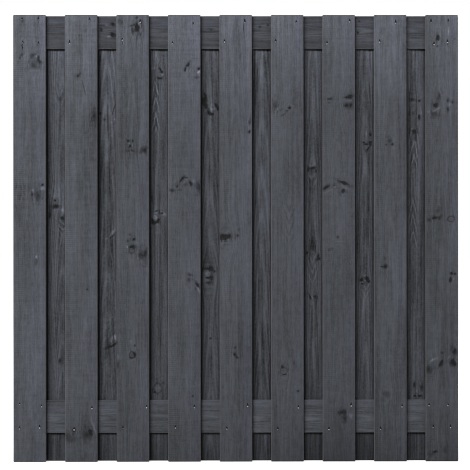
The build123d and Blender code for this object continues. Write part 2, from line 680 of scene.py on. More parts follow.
def split_wedge(split, face_y, shown_y, outward):
    """A thin crooked wedge, widest at its middle, that opens a split in a face."""
    x, top = on_panel(split.x, split.y_top, shown_y)
    bottom = on_panel(split.x, split.y_bottom, shown_y)[1]
    half = split.width / 2000
    mouth_y = face_y + outward * cutter_proud
    floor_y = face_y - outward * split_depth
    bm = bmesh.new()
    section = bm.faces.new([bm.verts.new(corner) for corner in ((-1, 0, 0), (1, 0, 0), (0, 1, 0))])
    for _ in range(split_steps):
        whole = [section, *section.edges, *section.verts]
        made = bmesh.ops.extrude_face_region(bm, geom=whole)["geom"]
        section = next(item for item in made if isinstance(item, bmesh.types.BMFace))
        bmesh.ops.translate(bm, vec=(0, 0, 1 / split_steps), verts=section.verts)
    for vert in bm.verts:
        side, depth, share = vert.co
        bend = half * math.sin(share * split_bends)
        opening = half * math.sin(math.pi * share) + split_tip
        vert.co.x = x + bend + side * opening
        vert.co.y = mouth_y + depth * (floor_y - mouth_y)
        vert.co.z = bottom + share * (top - bottom)
    return bm


def head_places(node):
    """Middles of a node's nail heads, as X and Z, read off the frame."""
    bm = bmesh.new()
    bm.from_mesh(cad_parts[node].data)
    bmesh.ops.remove_doubles(bm, verts=bm.verts, dist=1e-6)
    places = []
    left = set(bm.verts)
    while left:
        nail = set()
        edge = [left.pop()]
        while edge:
            vert = edge.pop()
            nail.add(vert)
            joined = {link.other_vert(vert) for link in vert.link_edges} & left
            left -= joined
            edge.extend(joined)
        across = [vert.co.x for vert in nail]
        upward = [vert.co.z for vert in nail]
        places.append(((min(across) + max(across)) / 2, (min(upward) + max(upward)) / 2))
    bm.free()
    return sorted(places)


def nail_profile(length):
    """Half the outline of a nail from its crown to its point, as radius and depth."""
    yield 0, 0
    yield head_radius * 0.5, head_crown * 0.25
    yield head_radius * 0.88, head_crown
    yield head_radius, head_crown * 1.9
    yield head_radius, head_thickness
    yield shank_radius, head_thickness + shank_ring_rise
    for ring in range(shank_ring_count):
        depth = first_shank_ring + ring * shank_ring_gap
        yield shank_radius, depth
        yield shank_radius + shank_ring_proud, depth + shank_ring_rise
    yield shank_radius, length - point_length
    yield 0, length


def drive_nails(name, places, head_y, point_y, material):
    """A group of nails, driven square to the face."""
    bm = bmesh.new()
    inward = math.copysign(1, point_y - head_y)
    turn = Matrix.Rotation(math.radians(-90) * inward, 4, "X")
    for x, z in places:
        outline = nail_profile(abs(point_y - head_y))
        start = [bm.verts.new((radius, 0, depth)) for radius, depth in outline]
        edges = [bm.edges.new(pair) for pair in zip(start, start[1:])]
        bmesh.ops.spin(
            bm, geom=start + edges, cent=(0, 0, 0), axis=(0, 0, 1), angle=2 * math.pi,
            steps=nail_sides, use_merge=True,
        )
        fresh = [vert for vert in bm.verts if not vert.tag]
        place = Matrix.Translation((x, head_y, z)) @ turn
        bmesh.ops.transform(bm, matrix=place, verts=fresh)
        for vert in fresh:
            vert.tag = True
    bmesh.ops.remove_doubles(bm, verts=bm.verts, dist=1e-6)
    piece = as_piece(bm, name, material)
    for face in piece.data.polygons:
        face.use_smooth = True
    piece.data.set_sharp_from_angle(angle=nail_smooth_below)
    return piece


# The timbers, boards from left to right. A mark's x and y are pixels of the photograph.

# How light each board is set falls mostly from left to right, in front and behind, partly as painted
# light
front_timbers = {
    "front_board_1": Timber(
        seed=1, tone=1.33, fade=0.12, lift=0.60, blue=0.9, ripple=1.1, streaks=1.0,
        splits=(
            Split(x=38.5, y_top=15.6, y_bottom=24, width=2.6),
            Split(x=22.8, y_top=40, y_bottom=51.5, width=4.0),
        ),
        knots=(
            Knot(x=22.6, y=20.5, radius=5, tall=1.6, core=0.35),
            Knot(x=22.7, y=55, radius=5, tall=1.4, lean=10, core=0.45),
            Knot(x=24.2, y=56, radius=3, tall=2, lean=10, core=-0.3),
            Knot(x=20.4, y=58.4, radius=4, tall=1.5, lean=10, core=0.35),
            Knot(x=18.8, y=62.3, radius=4, tall=1.3, core=0.25),
            Knot(x=33.6, y=55, radius=8, tall=0.8),
            Knot(x=38.4, y=57, radius=3.2, tall=2.2, core=0.6),
            Knot(x=36.9, y=56.3, radius=3.5, core=-0.7),
            Knot(x=33.6, y=65.7, radius=19, tall=0.85, lean=-15, core=0.32),
            Knot(x=29.5, y=61.5, radius=5.9, tall=1.6, lean=30, core=0.25),
            Knot(x=40.5, y=62, radius=5.9, tall=1.2, lean=-30, core=0.3),
            Knot(x=35, y=71, radius=10, tall=0.6, core=-0.12),
            Knot(x=42.8, y=185, radius=5.9, tall=0.75, lean=-15, core=0.6),
            Knot(x=43.2, y=188, radius=8, tall=0.7, lean=-20, core=-0.45),
            Knot(x=37.8, y=195, radius=15, tall=1.4, core=0.35),
            Knot(x=32.2, y=194.6, radius=3.2, tall=2.4, core=0.5),
            Knot(x=33.6, y=190.5, radius=3.5, tall=2, core=-0.3),
            Knot(x=19.5, y=192, radius=16, core=0.1),
            Knot(x=36.6, y=256.8, radius=4, core=-0.35),
            Knot(x=37.2, y=261.5, radius=6, tall=1.8, core=0.25),
        ),
    ),
    "front_board_2": Timber(
        seed=2, tone=1.13, fade=0.15, blue=0.4, ripple=1.3, streaks=1.3, pith=(0.018, 0.05),
        knots=(
            Knot(x=78.2, y=76, radius=5.5, tall=1.3, lean=50, core=0.5),
            Knot(x=80.3, y=73.8, radius=3, tall=2.2, lean=40, core=0.3),
            Knot(x=95, y=116.5, radius=13, tall=1.9, core=0.42),
            Knot(x=87.4, y=289.2, radius=3.3, tall=1.6, core=0.5),
            Knot(x=85.4, y=133, radius=5.9, tall=0.8, core=0.25),
            Knot(x=74.2, y=429.4, radius=4.8, tall=1.8, lean=22, core=0.75),
            Knot(x=90.1, y=431.1, radius=6.5, tall=1.4, lean=15, core=0.7),
            Knot(x=68.4, y=437, radius=18, core=0.42),
            Knot(x=87, y=434.5, radius=24, tall=0.8, core=0.36),
            Knot(x=94.2, y=427.5, radius=3.5, tall=5, lean=-18, core=-0.3),
            Knot(x=86, y=30.4, radius=3.5, tall=2, core=0.2),
            Knot(x=82, y=160, radius=45, tall=1.5, core=-0.05),
        ),
        lines=(
            Line(x_top=82.2, y_top=80, x_bottom=86, y_bottom=95, width=2.4, dark=0.45),
            Line(x_top=84.5, y_top=83, x_bottom=87.2, y_bottom=94, width=2, dark=-0.2),
            Line(x_top=84, y_top=66, x_bottom=82.2, y_bottom=79, width=2, dark=-0.2),
            Line(x_top=91, y_top=121, x_bottom=88, y_bottom=133, width=2, dark=0.3),
            Line(x_top=96, y_top=124, x_bottom=94, y_bottom=134, width=2, dark=0.25),
        ),
    ),
    "front_board_3": Timber(
        seed=3, tone=1.10, blue=0.5, ripple=0.6, streaks=1.6, fade=0.15, lift=0.55,
        splits=(
            Split(x=122.4, y_top=37.5, y_bottom=45, width=2.2),
        ),
        knots=(
            Knot(x=137.2, y=17.7, radius=5.9, core=0.6),
            Knot(x=141.2, y=22.8, radius=4.5, tall=1.5, core=0.7),
            Knot(x=139.3, y=24, radius=3.5, core=-0.5),
            Knot(x=132.8, y=25.3, radius=11, tall=0.4, lean=-15, core=0.5),
            Knot(x=137.8, y=28.8, radius=11, tall=1.7, core=0.65),
            Knot(x=133.5, y=31.5, radius=8, tall=1.4, lean=20, core=0.35),
            Knot(x=120.6, y=22.7, radius=12, tall=1.2, core=0.28),
            Knot(x=128.4, y=141, radius=5, core=0.65),
            Knot(x=132.9, y=141, radius=4, tall=1.4, core=0.5),
            Knot(x=130.4, y=146, radius=6, core=0.7),
            Knot(x=129.5, y=143.6, radius=3, core=-0.4),
            Knot(x=132.6, y=145.4, radius=3, tall=1.2, core=-0.35),
            Knot(x=128.3, y=151, radius=8, tall=0.55, core=0.45),
            Knot(x=133.5, y=151, radius=5.9, tall=0.6),
            Knot(x=131, y=151.8, radius=3, core=-0.3),
            Knot(x=144, y=149.5, radius=19, tall=0.8, lean=-35, core=0.5),
            Knot(x=134.1, y=239.1, radius=4, core=0.95),
            Knot(x=128, y=241, radius=4, tall=1.4, core=0.45),
            Knot(x=130, y=234.5, radius=4, core=0.3),
            Knot(x=131.5, y=246.6, radius=11, tall=0.35, lean=-10, core=0.75),
            Knot(x=127.3, y=247.2, radius=3.5, core=-0.6),
            Knot(x=132, y=250.5, radius=12, tall=0.9, core=0.1, rim=0.45),
            Knot(x=143.5, y=254.5, radius=18, tall=1.3, core=0.45),
            Knot(x=137, y=243, radius=5.9, core=-0.15),
            Knot(x=134.6, y=345.4, radius=3.2, tall=1.2, core=0.5),
            Knot(x=132.2, y=355, radius=11, tall=1.15, core=0.15, rim=0.5),
            Knot(x=134.8, y=354.3, radius=4, tall=1.6, core=0.6),
            Knot(x=131.5, y=357.5, radius=5.9, tall=0.5, core=0.45),
            Knot(x=131, y=341.6, radius=4, core=-0.2),
            Knot(x=115.9, y=343.2, radius=4, tall=1.4, core=0.7),
            Knot(x=117.3, y=365, radius=9, tall=1.6, core=0.5),
            Knot(x=118.2, y=357, radius=3, tall=3, core=-0.25),
            Knot(x=131, y=96, radius=40, tall=1.5, core=-0.05),
        ),
        lines=(
            Line(x_top=133, y_top=33, x_bottom=130, y_bottom=43, width=2, dark=0.3),
            Line(x_top=137, y_top=36, x_bottom=136.5, y_bottom=44, width=2, dark=0.3),
            Line(x_top=140.5, y_top=33, x_bottom=142.5, y_bottom=44, width=2, dark=0.35),
            Line(x_top=123.6, y_top=36, x_bottom=123.8, y_bottom=45, width=1.6, dark=-0.35),
            Line(x_top=139, y_top=155.5, x_bottom=148, y_bottom=161, width=2.2, dark=-0.25),
        ),
    ),
    "front_board_4": Timber(
        seed=4, tone=1.12, fade=0.15, lift=0.95, blue=0.7, ripple=1.1, streaks=0.9,
        knots=(
            Knot(x=188.8, y=64.8, radius=4.4, tall=2, lean=15, core=0.7),
            Knot(x=185.4, y=69.6, radius=4.4, tall=2, lean=15, core=0.6),
            Knot(x=190.2, y=71, radius=2.5, tall=3, lean=20, core=-0.4),
            Knot(x=187.2, y=70, radius=2.5, tall=2.5, lean=15, core=-0.25),
            Knot(x=199.3, y=69, radius=5.9, tall=0.8, lean=-40, core=0.6),
            Knot(x=198.8, y=72.2, radius=8, tall=0.5, lean=-35, core=-0.6),
            Knot(x=197.7, y=77.3, radius=9, tall=0.9, core=0.35),
            Knot(x=181.7, y=179.8, radius=4, tall=2.9, lean=40, core=0.95),
            Knot(x=186.3, y=177.5, radius=5.9, tall=0.45),
            Knot(x=190.9, y=183.5, radius=3.8, tall=2.1, lean=-28, core=0.65),
            Knot(x=177.3, y=186.5, radius=4.5, tall=1.7, lean=10, core=0.6),
            Knot(x=178.5, y=190, radius=5.9, tall=0.7, core=0.35),
            Knot(x=172.5, y=190.5, radius=16, tall=0.4),
            Knot(x=198.9, y=187.5, radius=11, tall=1.6, core=0.42),
            Knot(x=185.6, y=184.5, radius=9, tall=0.9, core=0.25),
            Knot(x=183.5, y=183, radius=3, tall=3, lean=50, core=-0.25),
            Knot(x=194, y=181, radius=4, tall=2, core=-0.15),
            Knot(x=190, y=275, radius=13, tall=0.35, lean=12, core=0.35),
            Knot(x=188.8, y=279, radius=5.5, core=0.35),
            Knot(x=193, y=279.5, radius=4, core=0.2),
            Knot(x=197.3, y=285, radius=5, tall=2, lean=-35, core=0.75),
            Knot(x=195.7, y=289, radius=3, tall=3.4, lean=-25),
            Knot(x=198.5, y=290, radius=3, tall=3.4, lean=-20, core=-0.4),
            Knot(x=187, y=283, radius=8, core=0.12),
            Knot(x=193, y=396, radius=4),
        ),
    ),
    "front_board_5": Timber(
        seed=5, tone=1.09, fade=0.22, blue=0.8, ripple=0.6, streaks=1.5,
        splits=(
            Split(x=244.0, y_top=16.5, y_bottom=40, width=2.2),
        ),
        knots=(
            Knot(x=249.7, y=131.6, radius=5, core=0.6),
            Knot(x=249.8, y=122.5, radius=6.5, tall=2.4),
            Knot(x=222.4, y=237.3, radius=16, tall=0.7, core=0.85),
            Knot(x=229, y=236.8, radius=15, tall=0.6, core=0.55),
            Knot(x=238, y=235.6, radius=5.9, core=0.5),
            Knot(x=239.2, y=230, radius=4, tall=1.5, core=0.3),
            Knot(x=224.5, y=233.2, radius=15, tall=0.2, core=-0.3),
            Knot(x=235.2, y=347.8, radius=5.9),
            Knot(x=234.6, y=354.2, radius=6.5, tall=1.1, core=0.65),
            Knot(x=237.2, y=357.4, radius=4, tall=1.6, lean=-40),
            Knot(x=224.9, y=42, radius=3, tall=2.4, core=0.5),
            Knot(x=225, y=241.5, radius=14, tall=0.13, core=0.25),
            Knot(x=225.5, y=244.5, radius=14, tall=0.13, core=0.22),
        ),
    ),
    "front_board_6": Timber(
        seed=6, tone=1.03, fade=0.3, lift=0.95, blue=0.5, ripple=0.5, streaks=1.4,
        pith=(0.001, 0.010), ring_gap=0.0045, taper=0.004,
        knots=(
            Knot(x=275, y=105, radius=13, tall=1.4, core=0.42),
            Knot(x=281, y=110, radius=9, tall=0.6, lean=-20, core=0.2),
            Knot(x=277.8, y=109, radius=3, tall=1.4, core=-0.3),
            Knot(x=289.6, y=107.9, radius=4.6, core=1.1),
            Knot(x=287.6, y=110.7, radius=4.5, tall=0.8, core=0.5),
            Knot(x=289.8, y=107.8, radius=13, core=0, rim=-0.15),
            Knot(x=283.5, y=115, radius=8, tall=0.4, lean=-40, core=0.35),
            Knot(x=282.1, y=366.8, radius=5.9),
            Knot(x=283.9, y=371, radius=14, tall=1.05, lean=-20, core=0.05, rim=0.35),
            Knot(x=285, y=374.6, radius=8, tall=0.4, lean=-15, core=0.35),
            Knot(x=294, y=363, radius=4.5, tall=2, core=0.3),
            Knot(x=292.3, y=364, radius=3, tall=2, lean=15, core=-0.2),
            Knot(x=298.2, y=391.1, radius=5.5, tall=0.75, core=0.65),
        ),
        flames=(
            Flame(x=288.6, y_top=200, y_bottom=246, rings=-3.9, depth=-0.36, steep=2.5, width=30),
        ),
    ),
    "front_board_7": Timber(
        seed=7, tone=1.01, blue=0.5, ripple=0.7, streaks=0.9, fade=0.45,
        knots=(
            Knot(x=329.4, y=98.8, radius=10, tall=0.4, core=0.5),
            Knot(x=329.4, y=102.7, radius=4, core=0.5),
            Knot(x=350.6, y=97, radius=10, tall=0.9, core=0.75),
            Knot(x=346, y=97.5, radius=9, tall=0.4, core=0.3),
            Knot(x=350, y=100.8, radius=10, tall=0.3, core=-0.25),
            Knot(x=349, y=105.4, radius=17, tall=0.55, core=0.5),
            Knot(x=325.7, y=188, radius=5.5, tall=2.8, lean=62, core=0.8),
            Knot(x=334.5, y=184.5, radius=4, tall=3, lean=65, core=0.25),
            Knot(x=344, y=183, radius=5.8, tall=3.4, lean=-68, core=0.85),
            Knot(x=342.9, y=191.3, radius=9.5, core=0.55),
            Knot(x=334.8, y=187.3, radius=9, tall=0.8, core=0, rim=0.35),
            Knot(x=330, y=190.5, radius=3, tall=4, lean=62, core=-0.3),
            Knot(x=347, y=188.5, radius=3, tall=4, lean=-60, core=-0.25),
            Knot(x=337.9, y=237.3, radius=5, core=0.35),
            Knot(x=339.5, y=242, radius=11, tall=0.15, core=-0.25),
            Knot(x=339.5, y=245, radius=11, tall=0.15, core=-0.2),
            Knot(x=330, y=249.5, radius=8, tall=0.6, core=0.2),
            Knot(x=342, y=412, radius=15, tall=0.6, core=0.5),
            Knot(x=344.5, y=418, radius=8, tall=1.9, lean=-12),
            Knot(x=350, y=415.5, radius=5.9, tall=2.2, lean=-40, core=-0.3),
            Knot(x=332.5, y=406, radius=6, core=-0.12),
        ),
    ),
    "front_board_8": Timber(
        seed=8, blue=0.5, ripple=0.8, streaks=1.5,
        knots=(
            Knot(x=388.1, y=137.3, radius=7, core=0.25),
            Knot(x=389.8, y=141.2, radius=6),
            Knot(x=386.4, y=144.6, radius=4, core=0.5),
            Knot(x=392.6, y=144.3, radius=4.2, core=0.55),
            Knot(x=385.4, y=266.8, radius=7.5, tall=0.8, core=0.5),
            Knot(x=381.5, y=266.8, radius=5, tall=0.4, core=0.35),
            Knot(x=384.9, y=258.4, radius=4, tall=1.6, core=0.2),
            Knot(x=387, y=394, radius=15, tall=1.1, core=0.25),
        ),
        lines=(
            Line(x_top=384.5, y_top=270, x_bottom=388, y_bottom=280, width=2, dark=0.25),
            Line(x_top=388.5, y_top=270, x_bottom=386, y_bottom=279, width=2, dark=0.2),
        ),
    ),
    "front_board_9": Timber(
        seed=9, tone=0.96, lift=0.6, blue=0.4, ripple=0.6, streaks=1.4,
        knots=(
            Knot(x=438.6, y=37.3, radius=6.5, tall=2, core=0.75),
            Knot(x=433.9, y=44.6, radius=4),
            Knot(x=437.8, y=46.2, radius=4, core=0.35),
            Knot(x=448, y=42.9, radius=3.8, tall=2, core=0.75),
            Knot(x=455, y=39, radius=4, core=0.3),
            Knot(x=449, y=31, radius=2.2, tall=6, core=-0.3),
            Knot(x=435.2, y=105.8, radius=8, tall=0.8, lean=20, core=0.8),
            Knot(x=438.5, y=98, radius=7, tall=2.8, lean=22, core=0.42),
            Knot(x=437.5, y=109.2, radius=3, tall=4, lean=60, core=-0.3),
            Knot(x=448, y=100.3, radius=4, tall=1.8, core=0.45),
            Knot(x=453, y=102.4, radius=5.5, core=0.5),
            Knot(x=448, y=109.1, radius=4, tall=2, core=0.45),
            Knot(x=450, y=105, radius=4, tall=1.2, core=-0.3),
            Knot(x=435.2, y=114, radius=15, tall=0.7, core=0.35),
            Knot(x=428.7, y=112.3, radius=4, core=-0.3),
            Knot(x=436, y=218, radius=15, tall=0.42, lean=-8, core=0.6),
            Knot(x=429.5, y=220, radius=7, tall=0.8, lean=30),
            Knot(x=438.7, y=210.5, radius=6, tall=2.2, lean=12, core=0.25),
            Knot(x=451.4, y=219.2, radius=13, tall=0.9, core=0.05, rim=0.5),
            Knot(x=451.9, y=273.7, radius=6.5, core=0.6),
            Knot(x=450.8, y=280.6, radius=5.2, tall=1.9, lean=-12, core=0.75),
            Knot(x=455.4, y=274.2, radius=3.5),
            Knot(x=454, y=279.5, radius=3, tall=1.6, core=-0.3),
            Knot(x=442.2, y=352.8, radius=6),
            Knot(x=455, y=352, radius=10, tall=1.8, core=0.65),
            Knot(x=441.7, y=362.8, radius=4.4, tall=3.2, lean=25, core=0.9),
            Knot(x=453.6, y=362.8, radius=7.5, tall=1.9, lean=-35, core=1.0),
            Knot(x=449.2, y=357.5, radius=3.2, tall=4, lean=50, core=-0.35),
            Knot(x=432.5, y=360.5, radius=4, tall=4, lean=62, core=-0.35),
            Knot(x=429.6, y=369, radius=16, tall=0.9, core=0.38),
            Knot(x=434.7, y=452.1, radius=6.5, tall=0.9, core=0.8),
            Knot(x=445.2, y=450, radius=8, tall=2, core=0.3),
            Knot(x=430, y=455, radius=14, tall=0.5, core=0.2),
        ),
    ),
}

back_look = dict(ring_depth=0.35, ripple=0.5, specks=0.85, lift=0.75)
back_timbers = {
    "back_board_1": Timber(
        seed=11, **back_look, tone=0.98, fade=0.32, streaks=2.6, pith=(0.0255, 0.03),
        ring_gap=0.0034,
        knots=(
            Knot(x=55.7, y=195, radius=13, tall=1.3, core=-0.3),
            Knot(x=55.4, y=200.4, radius=3.6, core=1.0),
            Knot(x=56, y=206.5, radius=20, tall=0.45, core=0.55),
            Knot(x=55, y=211, radius=4, tall=2.2, core=-0.35),
            Knot(x=50, y=215, radius=5.5, tall=1.8, core=0.55),
            Knot(x=62.8, y=210, radius=8, core=-0.35),
            Knot(x=62.3, y=217.9, radius=8, tall=1.2, core=0.8),
            Knot(x=60.2, y=360, radius=6, tall=1.7, core=0.5),
            Knot(x=63, y=376, radius=3, tall=8, core=0.3),
            Knot(x=60.5, y=98.4, radius=4, tall=2.5, core=0.35),
        ),
        flames=(
            Flame(x=60, y_top=84, y_bottom=108, rings=-2, depth=0.7, width=22),
            Flame(x=61.8, y_top=216, y_bottom=236, rings=-3.5, depth=0.9, steep=1.6, width=22),
        ),
    ),
    "back_board_2": Timber(
        seed=12, **back_look, tone=1.04, fade=0.42, streaks=3.4, ring_gap=0.0034,
        knots=(
            Knot(x=100.2, y=113.4, radius=5, core=0.6),
            Knot(x=104.6, y=119.6, radius=5, tall=0.9, core=0.5),
            Knot(x=114.6, y=119.6, radius=6, lean=-20, core=-0.4),
            Knot(x=111.8, y=122.3, radius=5, tall=0.8, core=-0.3),
            Knot(x=111.8, y=234, radius=5, tall=3.4, lean=40, core=-0.5),
            Knot(x=114.3, y=337.2, radius=8, tall=1.4, lean=20, core=-0.8),
            Knot(x=114.2, y=337.6, radius=3),
            Knot(x=110.4, y=341.7, radius=6, tall=1.2, lean=40, core=-0.35),
            Knot(x=105, y=238.8, radius=10, tall=0.15, core=-0.3),
            Knot(x=106, y=135, radius=26, tall=2, core=-0.1),
            Knot(x=106, y=325, radius=26, tall=2, core=-0.1),
            Knot(x=114.3, y=344.3, radius=3.5, tall=2.6, lean=50, core=0.9),
            Knot(x=109.4, y=346.8, radius=3.5, tall=3.6, lean=68, core=0.8),
        ),
        lines=(
            Line(x_top=108.2, y_top=104, x_bottom=108.2, y_bottom=131, width=2.2, dark=0.75),
            Line(x_top=115.7, y_top=104, x_bottom=112.3, y_bottom=115, width=3, dark=0.7),
            Line(x_top=115.3, y_top=233.9, x_bottom=108.7, y_bottom=240, width=4, dark=0.6),
        ),
    ),
    "back_board_3": Timber(
        seed=13, **back_look, tone=0.9, fade=0.45, streaks=3.3, pith=(-0.0105, -0.008),
        ring_gap=0.0045, taper=0.004,
        knots=(
            Knot(x=154.2, y=68.3, radius=9, tall=0.4, lean=-10, core=-0.45),
            Knot(x=160.3, y=69, radius=4, tall=2.2, lean=-30, core=0.55),
            Knot(x=162, y=72.3, radius=6, tall=0.6, core=0.5),
            Knot(x=163.1, y=75, radius=5.5, tall=0.7, core=-0.65),
            Knot(x=160.3, y=78.4, radius=11, tall=0.42, core=0.6),
            Knot(x=154.9, y=217.1, radius=8, core=-0.5),
            Knot(x=154.9, y=217.1, radius=3, core=0.7),
            Knot(x=155, y=218, radius=13, tall=1.1, core=0, rim=0.45),
            Knot(x=155.3, y=222.6, radius=11, tall=0.42, core=1.0),
            Knot(x=152.4, y=220, radius=4, tall=1.4, lean=-30, core=0.8),
            Knot(x=158.8, y=220, radius=4, tall=1.4, lean=30, core=0.8),
            Knot(x=156.2, y=211, radius=7, tall=0.6, core=0.5),
            Knot(x=161.8, y=213.2, radius=8, tall=0.5, core=0.65),
            Knot(x=164.6, y=213.8, radius=4.5, tall=0.9, core=-0.5),
            Knot(x=157.7, y=388.2, radius=12, tall=1.1, core=-0.15),
            Knot(x=157.7, y=388.2, radius=17, tall=1.15, core=0, rim=0.5),
            Knot(x=154, y=392, radius=6, core=0.5),
            Knot(x=163, y=382.7, radius=5),
            Knot(x=157, y=56, radius=24, tall=1.2, core=-0.16),
            Knot(x=152, y=199, radius=5.9, tall=5, core=0.3),
            Knot(x=160, y=198, radius=5.9, tall=5, core=0.3),
        ),
        flames=(
            Flame(x=156, y_top=78, y_bottom=136, rings=3.7, depth=1.4, steep=4.5),
        ),
    ),
    "back_board_4": Timber(
        seed=14, **back_look, tone=0.9, fade=0.42, streaks=2.8, ring_gap=0.0034,
        knots=(
            Knot(x=204.6, y=99.9, radius=10, tall=1.2, core=0.9),
            Knot(x=206.2, y=106.8, radius=7, tall=1.7, lean=-20, core=0.85),
            Knot(x=212.3, y=107.7, radius=10.5, tall=1.6, lean=-30, core=-0.5),
            Knot(x=212, y=107.2, radius=2.8, tall=1.5, lean=-30, core=0.6),
            Knot(x=209.3, y=113, radius=6, tall=0.9, lean=-30, core=0.9),
            Knot(x=212, y=114.4, radius=6, tall=0.6, core=0.8),
            Knot(x=216.4, y=105.5, radius=4.5, tall=2, lean=-25, core=0.95),
            Knot(x=218, y=109.5, radius=4, tall=1.6, lean=-10, core=0.7),
            Knot(x=208.6, y=268.8, radius=16, tall=0.28, core=0.6),
            Knot(x=208.6, y=274, radius=9, core=-0.4),
            Knot(x=208.6, y=274, radius=3, core=0.5),
            Knot(x=208.6, y=277.8, radius=12, tall=0.35, core=0.8),
            Knot(x=214.7, y=271.5, radius=5, tall=1.2),
            Knot(x=209, y=282.5, radius=17, tall=0.35, core=0.45),
            Knot(x=211, y=338.6, radius=4, core=0.5),
        ),
        lines=(
            Line(x_top=204.4, y_top=88.5, x_bottom=208.3, y_bottom=98, width=2, dark=-0.5),
            Line(x_top=203.2, y_top=90, x_bottom=206.5, y_bottom=99, width=2.5, dark=0.5),
        ),
    ),
    "back_board_5": Timber(
        seed=15, **back_look, tone=0.87, fade=0.55, streaks=4.2, ring_gap=0.0034,
        knots=(
            Knot(x=260, y=56, radius=26, tall=1.6, core=-0.12),
            Knot(x=256, y=200, radius=5.9, tall=7, core=0.2),
            Knot(x=264, y=196, radius=5.9, tall=7, core=0.2),
        ),
    ),
    "back_board_6": Timber(
        seed=16, **back_look, tone=0.85, fade=0.62, streaks=3.1, pith=(-0.0005, 0.006),
        ring_gap=0.0045,
        knots=(
            Knot(x=312.9, y=168.4, radius=10, tall=0.4, core=0.75),
            Knot(x=308.4, y=170.5, radius=4, tall=2.4, lean=5, core=0.6),
            Knot(x=316.3, y=171, radius=4, tall=2.2, lean=-5, core=0.5),
            Knot(x=313, y=248.4, radius=8, tall=2.4, core=0.45),
            Knot(x=317.8, y=257.3, radius=4, tall=3.5, lean=14, core=0.55),
            Knot(x=306.9, y=252.9, radius=4.5, core=0.5),
            Knot(x=319.7, y=259, radius=3.5, tall=1.5),
            Knot(x=310.3, y=296.8, radius=3.4, tall=2.8, lean=-30, core=0.75),
            Knot(x=311.8, y=297.5, radius=3, tall=2.5, lean=-30, core=-0.35),
            Knot(x=315.3, y=296.8, radius=6, tall=0.7, core=0.45),
        ),
        flames=(
            Flame(x=312.5, y_top=160, y_bottom=190, rings=-3, depth=0.6, steep=2, width=26),
            Flame(x=312.5, y_top=248, y_bottom=286, rings=-3.5, depth=0.65, steep=2.8, width=26),
        ),
    ),
    "back_board_7": Timber(
        seed=17, **back_look, tone=0.86, fade=0.68, streaks=2.9, pith=(0.005, 0.03),
        ring_gap=0.0034,
        knots=(
            Knot(x=366.7, y=134.4, radius=4, tall=3.5, core=-0.35),
            Knot(x=370.6, y=135, radius=5, tall=1.5, lean=-15, core=0.6),
            Knot(x=366.7, y=144.4, radius=11, tall=0.4, lean=8, core=0.8),
            Knot(x=371, y=142.3, radius=6, tall=0.6, core=0.6),
            Knot(x=364, y=142.6, radius=5, tall=0.7, core=0.6),
            Knot(x=368.6, y=148.5, radius=3.5, tall=3, lean=28, core=0.6),
            Knot(x=365.5, y=150.5, radius=3, tall=3, lean=-20, core=0.3),
            Knot(x=361.8, y=279.8, radius=6.5, core=0.95),
            Knot(x=367.3, y=278.9, radius=6.5, core=0.85),
            Knot(x=369.3, y=281.8, radius=4.5, core=0.6),
            Knot(x=362.3, y=284, radius=6.5, tall=0.7, core=0.75),
            Knot(x=364.6, y=276, radius=5, tall=0.8, core=-0.35),
            Knot(x=365, y=281, radius=3.5, tall=1.2, core=-0.35),
        ),
        flames=(
            Flame(x=365.7, y_top=280, y_bottom=302, rings=-3, depth=0.6, steep=2, width=24),
        ),
    ),
    "back_board_8": Timber(
        seed=18, **back_look, tone=0.82, fade=0.40, streaks=3.2, pith=(-0.007, -0.005),
        ring_gap=0.0050, taper=0.004,
        knots=(
            Knot(x=412.8, y=100, radius=9, tall=0.4, core=0.5),
            Knot(x=419.4, y=101.1, radius=5.5, tall=0.8, core=0.7),
            Knot(x=413.3, y=103, radius=9, tall=0.35, core=-0.35),
            Knot(x=413.3, y=113.3, radius=7, core=0.35),
            Knot(x=419.4, y=116.7, radius=5, tall=1.8, core=0.85),
            Knot(x=417.3, y=113, radius=2.5, tall=5, core=-0.3),
            Knot(x=421.5, y=113, radius=2.5, tall=5, core=-0.3),
            Knot(x=413.9, y=131.1, radius=11, tall=0.6, core=0.55),
            Knot(x=414.3, y=384.9, radius=5, tall=2.6, lean=8, core=0.75),
            Knot(x=421.6, y=388.2, radius=7, tall=2),
            Knot(x=414.9, y=396.3, radius=6.5, tall=0.7, core=0.85),
            Knot(x=419.9, y=396.3, radius=6.5, tall=0.7, core=0.85),
            Knot(x=417.1, y=392.1, radius=3.5, tall=1.6, core=-0.45),
        ),
        flames=(
            Flame(x=414.5, y_top=124, y_bottom=170, rings=3.2, depth=1.1, steep=4.2, width=24),
            Flame(x=413, y_top=194, y_bottom=250, rings=3.7, depth=0.9, steep=4.5, width=22),
        ),
    ),
}

rail_look = dict(ripple=0, lap_shade=0, edge=0.1)
rail_timbers = {
    # The top rail is set darker and the bottom rail lighter, as painted shade and light
    "top_rail": Timber(
        seed=21, tone=0.81, streaks=2.2, ring_depth=0.35, pith=(0.01, 0.04), **rail_look,
        knots=(
            Knot(x=113.3, y=24.1, radius=6.5, tall=0.9, core=0.75),
            Knot(x=113.3, y=35.2, radius=10, tall=0.65, core=1.0),
            Knot(x=109.4, y=36.9, radius=7, tall=0.8, core=-0.6),
            Knot(x=101.7, y=29.7, radius=5, tall=1.4, core=0.5),
            Knot(x=104, y=25.2, radius=11, tall=0.15),
            Knot(x=211, y=29.6, radius=6, tall=0.8, core=0.45),
            Knot(x=260, y=27, radius=3.5, core=0.45),
            Knot(x=268.3, y=25.5, radius=4, core=0.45),
            Knot(x=359.5, y=21.4, radius=5, tall=0.8, core=0.55),
            Knot(x=358, y=32.7, radius=5, tall=0.8, core=0.55),
        ),
    ),
    "bottom_rail": Timber(
        seed=22, tone=1.18, streaks=1.7, ring_depth=0.3, pith=(-0.01, 0.05), **rail_look,
    ),
}


# Putting the panel together

